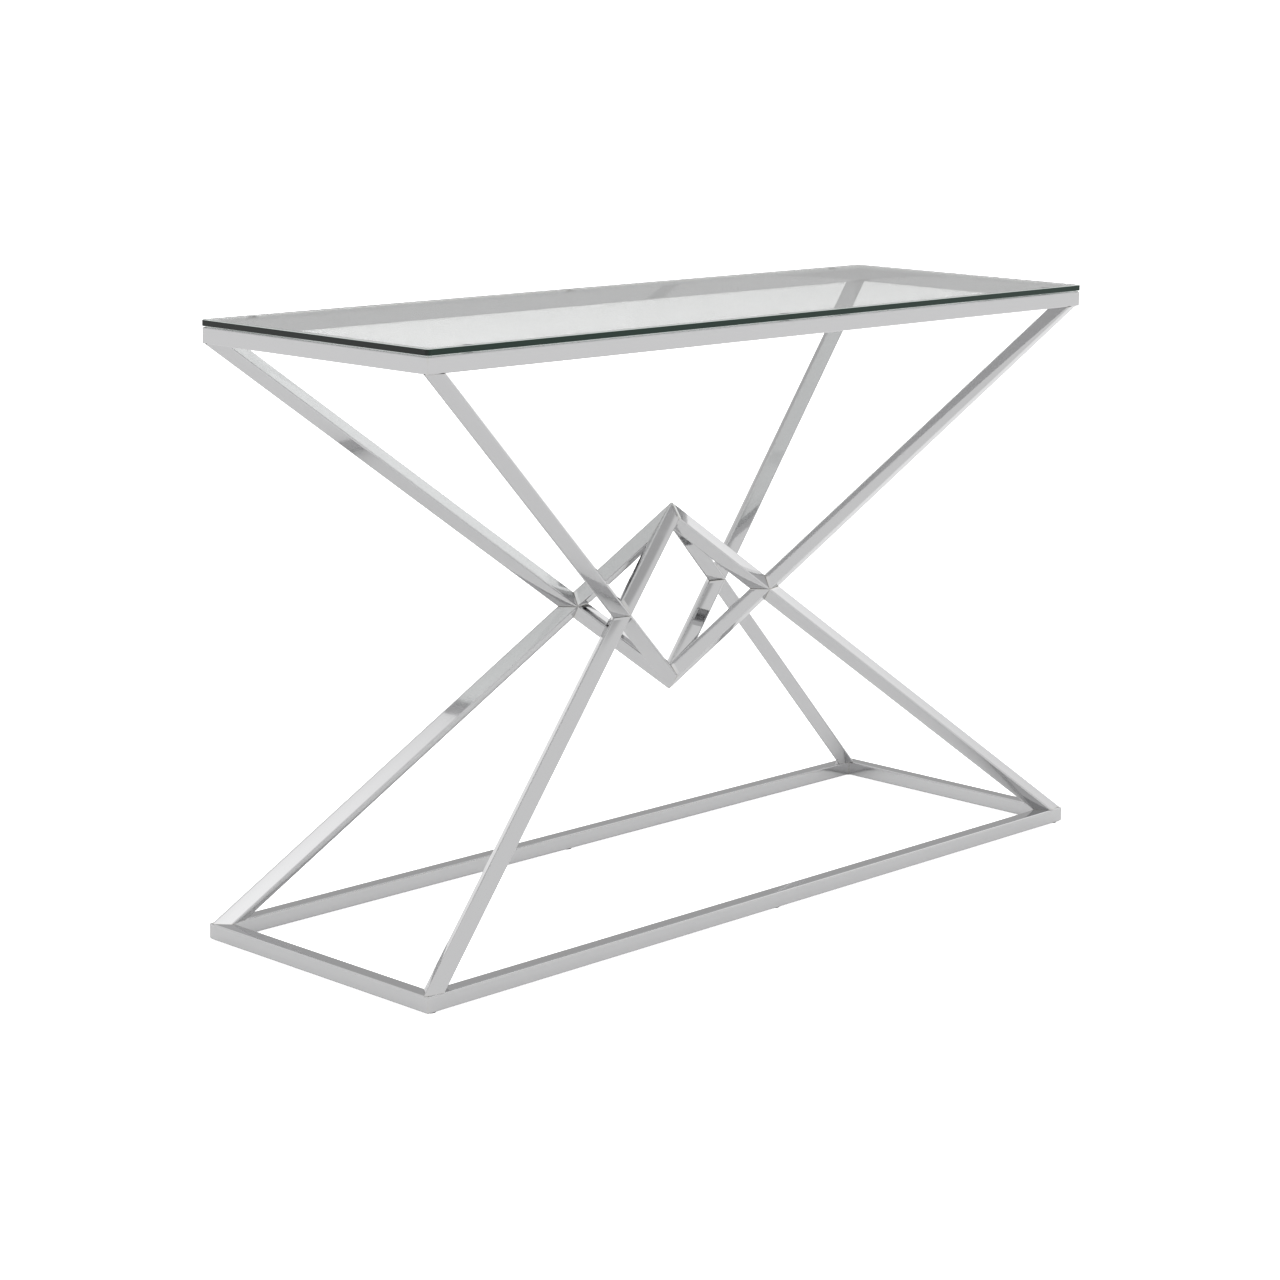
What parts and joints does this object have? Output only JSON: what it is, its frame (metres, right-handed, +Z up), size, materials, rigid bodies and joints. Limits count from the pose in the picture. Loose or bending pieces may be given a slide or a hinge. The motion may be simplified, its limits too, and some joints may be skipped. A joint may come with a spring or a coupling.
{
  "type": "console table",
  "caption": "Slim console table with a clear glass top on a polished square-tube frame whose sloping legs cross and form a diamond in the middle.",
  "frame": {"origin": "centre of the table's footprint, on the floor", "axes": "+X along the table's length, +Y from its front to its back, +Z up"},
  "size_m": [1.2, 0.4, 0.76],
  "materials": {
    "frame_metal": "mirror-polished stainless steel square tube",
    "glass": "clear toughened float glass with polished edges that look dark green",
    "pad": "clear soft plastic pad",
    "glide": "moulded black plastic"
  },
  "bodies": {
    "frame": {"base_rail_back": "frame_metal", "base_rail_front": "frame_metal", "base_rail_left": "frame_metal", "base_rail_right": "frame_metal", "floor_glide_back_left": "glide", "floor_glide_back_middle": "glide", "floor_glide_back_right": "glide", "floor_glide_front_left": "glide", "floor_glide_front_middle": "glide", "floor_glide_front_right": "glide", "glass_pad_back_left": "pad", "glass_pad_back_middle": "pad", "glass_pad_back_right": "pad", "glass_pad_front_left": "pad", "glass_pad_front_middle": "pad", "glass_pad_front_right": "pad", "lower_leg_back_left": "frame_metal", "lower_leg_back_right": "frame_metal", "lower_leg_front_left": "frame_metal", "lower_leg_front_right": "frame_metal", "lower_strut_back_left": "frame_metal", "lower_strut_back_right": "frame_metal", "lower_strut_front_left": "frame_metal", "lower_strut_front_right": "frame_metal", "top_rail_back": "frame_metal", "top_rail_front": "frame_metal", "top_rail_left": "frame_metal", "top_rail_right": "frame_metal", "upper_leg_back_left": "frame_metal", "upper_leg_back_right": "frame_metal", "upper_leg_front_left": "frame_metal", "upper_leg_front_right": "frame_metal", "upper_strut_back_left": "frame_metal", "upper_strut_back_right": "frame_metal", "upper_strut_front_left": "frame_metal", "upper_strut_front_right": "frame_metal"},
    "glass": {"glass_top": "glass"}
  },
  "joints": [
    {"name": "glass_lift", "type": "slide", "parent": "frame", "child": "glass", "axis": [0, 0, 1], "range_m": [0, 0.15]}
  ]
}
